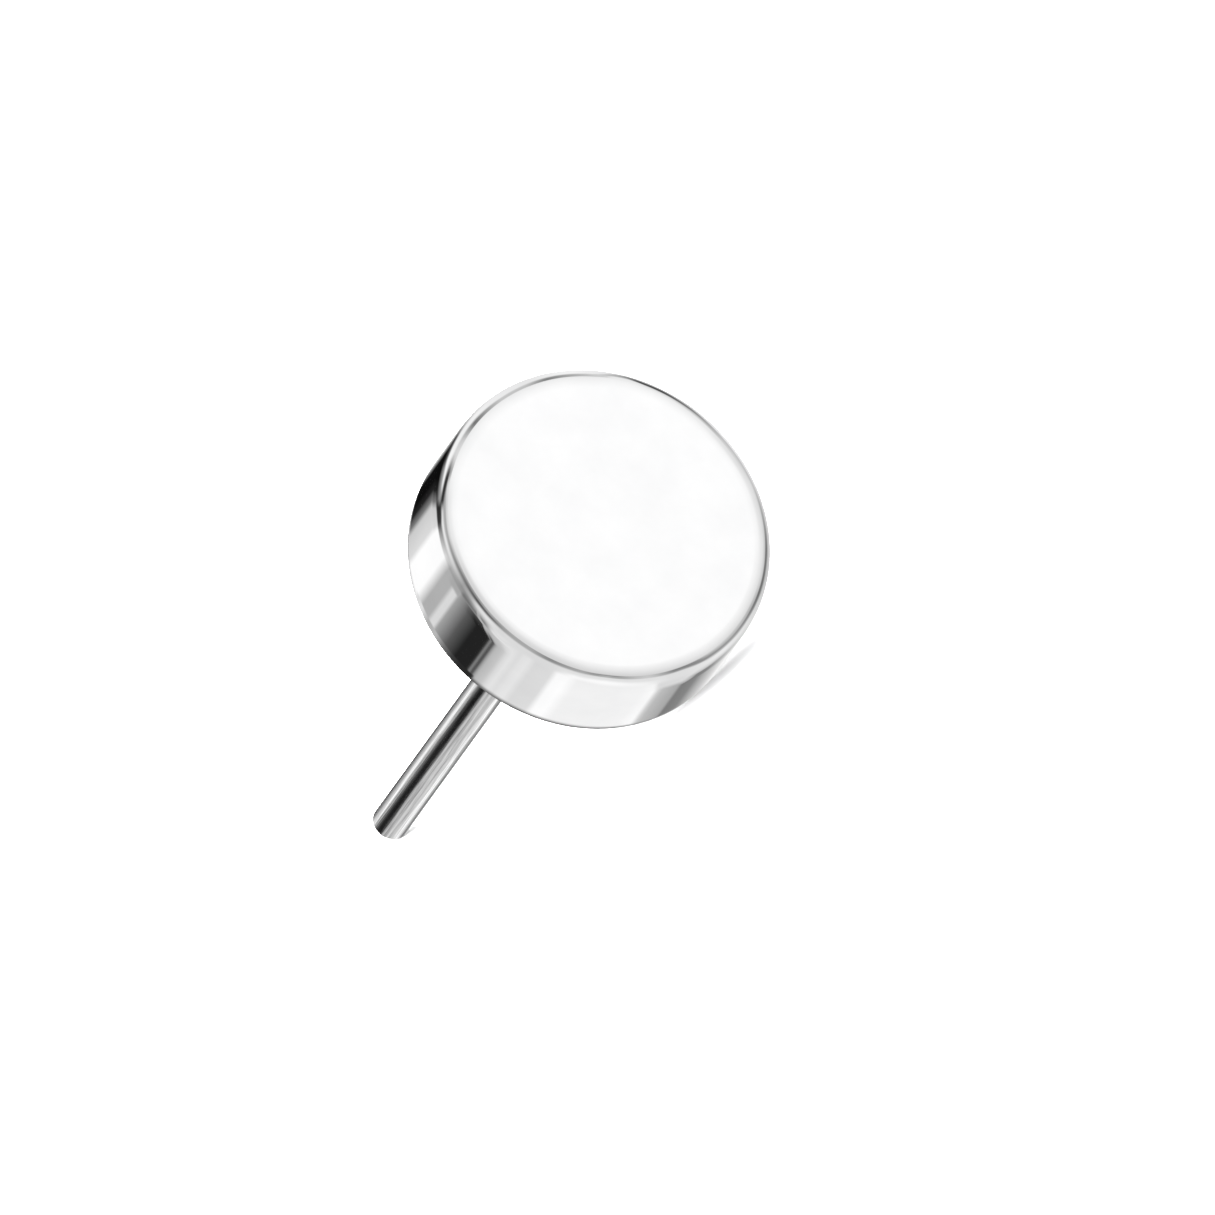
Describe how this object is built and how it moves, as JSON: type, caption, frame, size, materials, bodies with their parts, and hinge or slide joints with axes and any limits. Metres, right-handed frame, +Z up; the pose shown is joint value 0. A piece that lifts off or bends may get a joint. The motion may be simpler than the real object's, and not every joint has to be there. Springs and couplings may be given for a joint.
{
  "type": "threadless labret stud top",
  "caption": "Decorative top of a push-fit labret stud: a flat mirror-polished metal disc with rounded rims on a thin straight pin with a short tapered tip, lying on its side.",
  "frame": {"origin": "on the floor, under the middle of the stud's bounding box as it lies on its side on the disc's back rim and the pin's end", "axes": "+Z up from the floor; +X level, the way the pin points from the disc, with the pin sloping down towards +X by 14.3 degrees, the longest extent; +Y level across the pin, the shortest extent; the XZ plane is a mirror plane"},
  "size_m": [0.0108, 0.005, 0.0052],
  "materials": {
    "polished_disc": "mirror-polished titanium, neutral silver, with a soft roll-off inside the face's rim",
    "polished_pin": "bright-drawn and polished titanium wire, with very fine marks along its length"
  },
  "bodies": {
    "root": {"disc": "polished_disc", "push_pin": "polished_pin"}
  },
  "joints": []
}
